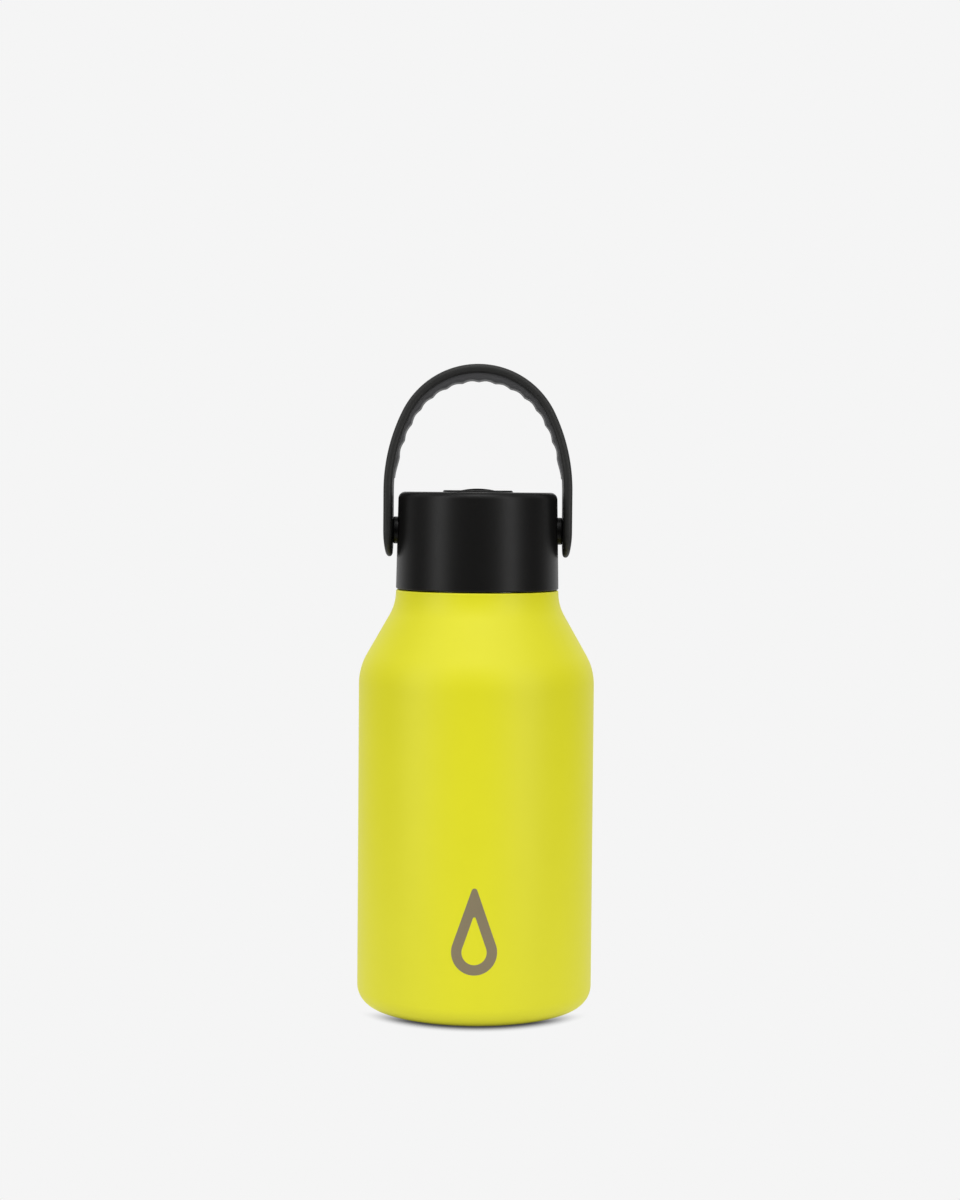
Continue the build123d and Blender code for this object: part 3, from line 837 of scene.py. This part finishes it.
@dataclass
class Spout:
    """The fold-down spout: hard hinge block and soft mouthpiece."""

    heel: float = 5.8
    belly: float = 5.0
    half_width: float = 7.3
    crown_rise: float = 1.1
    hard_length: float = 9.5
    length: float = 18.9
    mouth_width: float = 13.4
    mouth_height: float = 10.2
    tip_width: float = 10.6
    tip_height: float = 7.6
    corner: float = 3.4
    hole_width: float = 4.6
    hole_height: float = 2.6
    hole_depth: float = 6.0
    root_swell: float = 0.28
    root_share: float = 0.62
    nose_setback: float = 0.9
    nose_spread: float = 1.35
    nose_fill: float = 1.2
    block_edge: float = 0.5

    @property
    def pivot_z(self) -> float:
        """Height of the spout's pivot."""
        low, high = node_box("spout_pins")
        return (low.z + high.z) / 2

    def block(self) -> None:
        """Build the hinge block: round heel, crowned top and flat belly."""
        bm = bmesh.new()
        verts = bmesh.ops.create_circle(bm, radius=self.heel, segments=96, cap_ends=True)["verts"]
        rotate(bm, verts, math.pi / 2, "Y")
        for vert in verts:
            if vert.co.y < -0.01:
                share = abs(vert.co.z) / self.heel
                side = 1 if vert.co.z > 0 else -1
                reach = self.heel if side > 0 else self.belly
                front = min(1.0, share * self.nose_spread) ** 3
                vert.co.y = -self.hard_length + self.nose_setback * front**2
                vert.co.z = side * reach * min(1.0, share * self.nose_fill)
        face = bm.faces[:][0]
        bmesh.ops.translate(bm, vec=(-self.half_width, 0, 0), verts=verts)
        columns = 24
        parts = [face, *face.edges, *face.verts]
        for _ in range(columns):
            parts = bmesh.ops.extrude_face_region(bm, geom=parts)["geom"]
            step = (2 * self.half_width / columns, 0, 0)
            bmesh.ops.translate(bm, vec=step, verts=pick(parts, Vert))
        for vert in bm.verts:
            out = abs(vert.co.x) / self.half_width
            lift = max(0.0, vert.co.z / self.heel)
            vert.co.z -= self.crown_rise * out**2 * lift**4
        bmesh.ops.translate(bm, vec=(0, 0, self.pivot_z), verts=bm.verts)
        piece = finish_piece(
            bm, Dressing("spout_block", SATIN_PP, "spout", ("spout_body",), "lid_plastic")
        )
        soften(piece, self.block_edge)

    def mouthpiece(self) -> None:
        """Loft the soft sleeve from the block to its tip and sink the drinking slot."""
        bm = bmesh.new()
        run = self.length - self.hard_length
        stages = [
            (0.0, 0.93), (0.03, 0.985), (0.08, 1.0), (0.3, 0.985), (0.6, 0.99), (0.8, 1.0),
            (0.91, 0.985), (0.97, 0.92), (1.0, 0.80),
        ]
        loops = [self._section(bm, self.root_swell, 0.0, self.root_share)]
        for along, swell in stages:
            loops.append(self._section(bm, swell, along * run, 1.0 - along))
        for swell, depth in ((1.35, 0.0), (1.05, 0.25), (1.0, 0.8), (1.0, self.hole_depth)):
            loops.append(self._slot(bm, swell, run - depth))
        bridge(bm, loops)
        for cap in (loops[0], loops[-1]):
            bmesh.ops.contextual_create(bm, geom=cap)
        rotate(bm, bm.verts[:], math.pi / 2, "X")
        bmesh.ops.translate(bm, vec=(0, -self.hard_length, self.pivot_z), verts=bm.verts)
        dress = Dressing(
            "soft_mouthpiece", SOFT_BLACK, "spout", ("mouthpiece",), "soft_black", 50
        )
        finish_piece(bm, dress)

    def _section(self, bm: BMesh, swell: float, z: float, share: float) -> list:
        """Add one cross-section of the sleeve, from its tip size (0) to its root size (1)."""
        width = (self.tip_width + (self.mouth_width - self.tip_width) * share) * swell
        height = (self.tip_height + (self.mouth_height - self.tip_height) * share) * swell
        return rounded_rectangle(bm, width, height, min(self.corner, height * 0.46), 0, z)

    def _slot(self, bm: BMesh, swell: float, z: float) -> list:
        """Add the outline of the drinking slot."""
        height = self.hole_height * swell
        return rounded_rectangle(bm, self.hole_width * swell, height, height * 0.48, 0, z)

    def build(self) -> None:
        """Build the spout and dress the straw."""
        self.block()
        self.mouthpiece()
        dress_nodes({"straw": STRAW_PP})


def soften(piece: bpy.types.Object, width: float) -> None:
    """Round a piece's sharp edges with a live bevel."""
    bevel = piece.modifiers.new("soft_edges", "BEVEL")
    bevel.width = width * MM
    bevel.segments = 4
    bevel.limit_method = "ANGLE"
    bevel.angle_limit = math.radians(40)
    bevel.harden_normals = True


# --- Handle ---


@dataclass
class Handle:
    """The bail handle: strap with round ends and the fluted grip under its arch."""

    half_width: float = 29.0
    thickness: float = 2.7
    width: float = 16.4
    rise: float = 51.1
    crown: float = 26.0
    straight: float = 12.2
    outer_edge: float = 1.2
    inner_edge: float = 1.25
    end_taper: float = 0.8
    pin_radius: float = 2.53
    pin_length: float = 2.8
    pin_sink: float = 0.4
    pin_edge: float = 0.4
    grip: float = 2.4
    grip_end: float = 0.85
    grip_taper: float = 1.5
    grip_width: float = 13.0
    grip_ramp: float = 6.5
    grip_toe: float = 0.3
    flutes: int = 14
    flute_pitch: float = 5.65
    flute_depth: float = 0.5
    flute_crest: float = 0.02
    grip_roll: float = 1.6

    @property
    def pivot_z(self) -> float:
        """Height of the handle's pivots."""
        return node_box("handle")[0].z + self.width / 2

    @property
    def arch_z(self) -> float:
        """Height where the arms begin to lean in."""
        return self.pivot_z + self.straight

    @property
    def crown_z(self) -> float:
        """Height of the crown arc's centre."""
        return self.pivot_z + self.rise - self.crown

    @property
    def side_radius(self) -> float:
        """Radius of the wide arc on each side of the arch."""
        lift = self.crown_z - self.arch_z
        return (self.half_width**2 + lift**2 - self.crown**2) / (2 * (self.half_width - self.crown))

    @property
    def side_angle(self) -> float:
        """Angle that each wide arc turns through, in radians."""
        return math.atan2(self.crown_z - self.arch_z, self.side_radius - self.half_width)

    def strap_half(self) -> list[tuple[float, float]]:
        """Return half the strap's section, from its inside middle to its outside middle."""
        inside = self.half_width - self.thickness
        half = self.width / 2
        path = rounded_path(
            [(inside, 0), (inside, half), (self.half_width, half), (self.half_width, 0)],
            [self.inner_edge, self.outer_edge], 6,
        )
        return [tuple(point) for point in path]

    def strap(self) -> None:
        """Spin and extrude the strap's section along the arch, with a round end at each pivot."""
        bm = bmesh.new()
        half = self.strap_half()
        ring = half + [(x, -y) for x, y in half[-2:0:-1]]
        verts = [bm.verts.new((x, y, self.pivot_z)) for x, y in ring]
        edges = self._slide(bm, ring_edges(bm, verts), self.straight)
        turns = [
            (self.half_width - self.side_radius, self.arch_z, self.side_angle, 40),
            (0, self.crown_z, math.pi - 2 * self.side_angle, 96),
            (self.side_radius - self.half_width, self.arch_z, self.side_angle, 40),
        ]
        for centre_x, centre_z, angle, steps in turns:
            spun = bmesh.ops.spin(
                bm, geom=edges, cent=(centre_x, 0, centre_z), axis=-Y_AXIS, angle=angle, steps=steps
            )
            edges = pick(spun["geom_last"], Edge)
        self._slide(bm, edges, -self.straight)
        for side in (-1, 1):
            chain = [bm.verts.new((side * x, y, self.pivot_z)) for x, y in half]
            links = [bm.edges.new(pair) for pair in zip(chain, chain[1:])]
            bmesh.ops.spin(
                bm, geom=chain + links, cent=(0, 0, self.pivot_z), axis=-X_AXIS, angle=math.pi,
                steps=40,
            )
        bmesh.ops.remove_doubles(bm, verts=bm.verts, dist=2e-3)
        self._taper_ends(bm)
        for side in (-1, 1):
            inside = self.half_width - self.thickness
            add_boss(
                bm, side, inside + self.pin_sink, inside - self.pin_length, self.pin_radius,
                self.pivot_z, self.pin_edge,
            )
        dress = Dressing("handle_strap", HANDLE_PP, "handle", ("handle",), "handle_plastic")
        finish_piece(bm, dress)

    @staticmethod
    def _slide(bm: BMesh, edges: list, distance: float) -> list:
        """Extrude a loop of edges along Z and return the new loop."""
        grown = bmesh.ops.extrude_edge_only(bm, edges=edges)["geom"]
        fresh = pick(grown, Vert)
        bmesh.ops.translate(bm, vec=(0, 0, distance), verts=fresh)
        return [edge for edge in pick(grown, Edge) if all(vert in fresh for vert in edge.verts)]

    def _taper_ends(self, bm: BMesh) -> None:
        """Thin the strap's round ends towards their lower edge, from the outside."""
        inside = self.half_width - self.thickness
        for vert in bm.verts:
            drop = (self.pivot_z - vert.co.z) / (self.width / 2)
            if drop > 0:
                share = max(0.0, (abs(vert.co.x) - inside) / self.thickness)
                vert.co.x -= math.copysign(self.end_taper * share * drop**2, vert.co.x)

    def arch_point(self, run: float) -> tuple[Vector, Vector]:
        """Return a point on the strap's inside and the way in from it.

        Args:
            run: Distance along the strap's inside from the crown, positive towards +X.
        Returns:
            The point and the unit direction towards the inside.
        """
        side = 1 if run >= 0 else -1
        crown_inside = self.crown - self.thickness
        crown_run = crown_inside * (math.pi / 2 - self.side_angle)
        if abs(run) <= crown_run:
            angle = math.pi / 2 - abs(run) / crown_inside
            centre, radius = Vector((0, 0, self.crown_z)), self.crown
        else:
            angle = self.side_angle - (abs(run) - crown_run) / (self.side_radius - self.thickness)
            centre = Vector((self.half_width - self.side_radius, 0, self.arch_z))
            radius = self.side_radius
        outward = Vector((math.cos(angle), 0, math.sin(angle)))
        point = centre + outward * (radius - self.thickness)
        return Vector((side * point.x, 0, point.z)), Vector((-side * outward.x, 0, -outward.z))

    @property
    def grip_half(self) -> float:
        """Length of the fluted part of the grip on each side of the crown."""
        return self.flutes * self.flute_pitch / 2

    def grip_depth(self, run: float) -> float:
        """Return the grip's thickness at a run: thickest at the crown, fluted, thin below."""
        beyond = abs(run) - self.grip_half
        if beyond > 0:
            fall = 0.5 - 0.5 * math.cos(math.pi * min(1.0, beyond / self.grip_ramp))
            return self.grip_end + (self.grip_toe - self.grip_end) * fall
        swell = math.cos(math.pi / 2 * abs(run) / (self.grip_half + self.flute_depth))
        crest = self.grip_end + (self.grip - self.grip_end) * swell**self.grip_taper
        place = (run / self.flute_pitch + self.flutes / 2) % 1.0
        soft = self.flute_crest
        hollow = math.sqrt(math.sin(math.pi * place) ** 2 + soft) - math.sqrt(soft)
        return crest - self.flute_depth * hollow

    def grip_pad(self) -> None:
        """Extrude the grip's section along the arch, following its flutes."""
        reach = self.grip_half + self.grip_ramp
        steps = self.flutes * 18
        bm = bmesh.new()
        section = self._grip_section()
        verts = [bm.verts.new((0, 0, 0)) for _ in section]
        start = bm.faces.new(verts)
        self._place_grip(verts, section, -reach)
        ring, parts = verts, [start, *start.edges, *start.verts]
        for step in range(1, steps + 1):
            parts = bmesh.ops.extrude_face_region(bm, geom=parts)["geom"]
            ring = self._matching(pick(parts, Face)[0], ring)
            self._place_grip(ring, section, -reach + 2 * reach * step / steps)
        dress = Dressing("grip_pad", GRIP_TPE, "handle", ("handle_grip",), "grip_rubber", 60)
        finish_piece(bm, dress)

    def _grip_section(self) -> list[tuple[float, float]]:
        """Return the grip's section: distance across, and share of depth, with rolled edges."""
        half = self.grip_width / 2
        edge = [
            (half - self.grip_roll * (1 - math.sin(angle)), math.cos(angle))
            for angle in (math.radians(degrees) for degrees in range(0, 91, 10))
        ]
        crown = [(half * share, 1.0) for share in (0.7, 0.35, 0.0)]
        right = edge[::-1] + crown
        return right + [(-x, depth) for x, depth in right[-2::-1]]

    @staticmethod
    def _matching(face: Face, ring: list) -> list:
        """Return a new face's corners in the order of the ring it grew from."""
        fresh = list(face.verts)
        return [min(fresh, key=lambda vert: (vert.co - old.co).length_squared) for old in ring]

    def _place_grip(self, ring: list, section: list, run: float) -> None:
        """Put one ring of the grip at its run along the arch."""
        depth = self.grip_depth(run)
        base, inward = self.arch_point(run)
        for vert, (across, share) in zip(ring, section):
            spot = base + inward * (depth * share)
            vert.co = Vector((spot.x, across, spot.z))

    def build(self) -> None:
        """Build the handle."""
        self.strap()
        self.grip_pad()


# --- Studio ---


@dataclass
class Studio:
    """Camera, pale floor and soft lights."""

    distance: float = 693.6
    eye_height: float = 159.7
    pitch: float = 2.76
    roll: float = 0.474
    aside: float = 0.9
    focal_length: float = 67.1
    backdrop: str = "#F5F5F5"
    front_light: float = 0.03
    back_light: float = 0.95
    top_light: float = 0.45
    box_power: float = 6.6
    top_power: float = 4.5
    strip_power: float = 0.7
    floor_radius: float = 250.0
    # Painted contact shadow in the floor's glow: how far it reaches, the band in front where it
    # shows, and how dark it gets
    shadow_reach: float = 6.5
    shadow_front: float = -27.0
    shadow_back: float = -12.0
    shadow_open: float = 0.8
    shadow_floor: float = 0.05

    def camera(self) -> None:
        """Set the camera level with the lid's top, looking slightly down."""
        data = bpy.data.cameras.new("camera")
        data.sensor_fit = "VERTICAL"
        data.sensor_height = 36.0
        data.lens = self.focal_length
        data.clip_start = 0.01
        camera = add_object("camera", data)
        turn = Matrix.Rotation(math.radians(90 - self.pitch), 4, "X") @ Matrix.Rotation(
            math.radians(self.roll), 4, "Z"
        )
        camera.matrix_world = Matrix.Translation(
            Vector((self.aside, -self.distance, self.eye_height)) * MM
        ) @ turn
        bpy.context.scene.camera = camera

    def floor_paper(self) -> bpy.types.Material:
        """Build the floor paper: an even glow with a painted contact shadow, darkened by ambient
        occlusion close to what stands on it and only in front of it.
        """
        material = bpy.data.materials.new("painted_shadow_paper")
        material.use_nodes = True
        tree = material.node_tree
        # Painted contact shadow: ambient occlusion darkens the glow near the bottle, and a band in
        # Y keeps it only in front
        near = add_node(
            tree, "ShaderNodeAmbientOcclusion",
            {"samples": 24, "Distance": self.shadow_reach * MM},
        )
        place = add_node(tree, "ShaderNodeTexCoord").outputs["Object"]
        parts = add_node(tree, "ShaderNodeSeparateXYZ", links={"Vector": place})
        painted_shadow_band = smooth_range(
            tree, parts.outputs["Y"], self.shadow_front * MM, self.shadow_back * MM
        )
        painted_shadow = smooth_range(tree, near.outputs["AO"], 0.0, self.shadow_open, self.shadow_floor)
        share = add_node(tree, "ShaderNodeMapRange", links={"Value": painted_shadow_band, "To Min": painted_shadow})
        glow = add_node(tree, "ShaderNodeEmission", links={"Strength": share.outputs["Result"]})
        glow.inputs["Color"].default_value = linear(self.backdrop)
        tree.links.new(glow.outputs[0], tree.nodes["Material Output"].inputs["Surface"])
        tree.nodes.remove(tree.nodes["Principled BSDF"])
        return material

    def floor(self) -> None:
        """Lay the pale paper that the bottle stands on."""
        bm = bmesh.new()
        bmesh.ops.create_circle(bm, radius=self.floor_radius * MM, segments=96, cap_ends=True)
        mesh = bpy.data.meshes.new("floor")
        bm.to_mesh(mesh)
        bm.free()
        mesh.materials.append(self.floor_paper())
        add_object("floor", mesh)

    def lamp(
        self, name: str, azimuth: float, height: float, away: float, size: tuple, power: float
    ) -> None:
        """Hang one rectangular soft light round the bottle, aimed at its middle.

        Args:
            name: The lamp's name.
            azimuth: Degrees round from the front, positive to the right.
            height: Height of its middle in metres.
            away: Distance from the bottle's axis in metres.
            size: Width and height in metres.
            power: Watts.
        """
        data = bpy.data.lights.new(name, "AREA")
        data.shape = "RECTANGLE"
        data.size, data.size_y = size
        data.energy = power
        lamp = add_object(name, data)
        angle = math.radians(azimuth)
        place = Vector((away * math.sin(angle), -away * math.cos(angle), height))
        lamp.location = place
        lamp.rotation_euler = (Vector((0, 0, 0.1)) - place).to_track_quat("-Z", "Y").to_euler()

    def sky(self) -> None:
        """Fill the studio with pale light that comes from above, behind and the sides."""
        world = bpy.data.worlds.new("studio")
        bpy.context.scene.world = world
        world.use_nodes = True
        tree = world.node_tree
        seen = tree.nodes["Background"]
        seen.inputs["Color"].default_value = linear(self.backdrop)
        direction = add_node(tree, "ShaderNodeTexCoord").outputs["Generated"]
        parts = add_node(tree, "ShaderNodeSeparateXYZ", links={"Vector": direction})
        behind = smooth_range(
            tree, parts.outputs["Y"], 0.1, 0.85, self.front_light, self.back_light
        )
        above = smooth_range(tree, parts.outputs["Z"], 0.1, 0.9, 0.0, self.top_light)
        total = add_node(tree, "ShaderNodeMath", {"operation": "ADD"}, {0: behind, 1: above})
        light = add_node(tree, "ShaderNodeBackground", links={"Strength": total.outputs["Value"]})
        light.inputs["Color"].default_value = (1, 1, 1, 1)
        path = add_node(tree, "ShaderNodeLightPath")
        mixed = add_node(
            tree, "ShaderNodeMixShader",
            links={0: path.outputs["Is Camera Ray"], 1: light.outputs[0], 2: seen.outputs[0]},
        )
        tree.links.new(mixed.outputs[0], tree.nodes["World Output"].inputs["Surface"])

    def lights(self) -> None:
        """Hang a tall soft box on each side, a wide one above and a strip in front."""
        self.lamp("left_box", -56, 0.35, 1.1, (0.26, 1.5), self.box_power)
        self.lamp("right_box", 47, 0.35, 1.1, (0.26, 1.5), self.box_power)
        self.lamp("top_box", 0, 1.15, 0.45, (0.7, 0.5), self.top_power)
        self.lamp("front_strip", 0, 0.78, 1.0, (1.4, 0.14), self.strip_power)

    def build(self) -> None:
        """Set up the studio."""
        self.camera()
        self.floor()
        self.sky()
        self.lights()
        view = bpy.context.scene.view_settings
        view.view_transform = "Standard"
        view.look = "None"


def main() -> None:
    """Build every sub-assembly, then the studio."""
    logging.basicConfig(level=logging.INFO, format="%(name)s: %(message)s")
    Studio().build()
    for assembly in (Vessel(), Lid(), Spout(), Handle()):
        assembly.build()


if __name__ == "__main__":
    main()
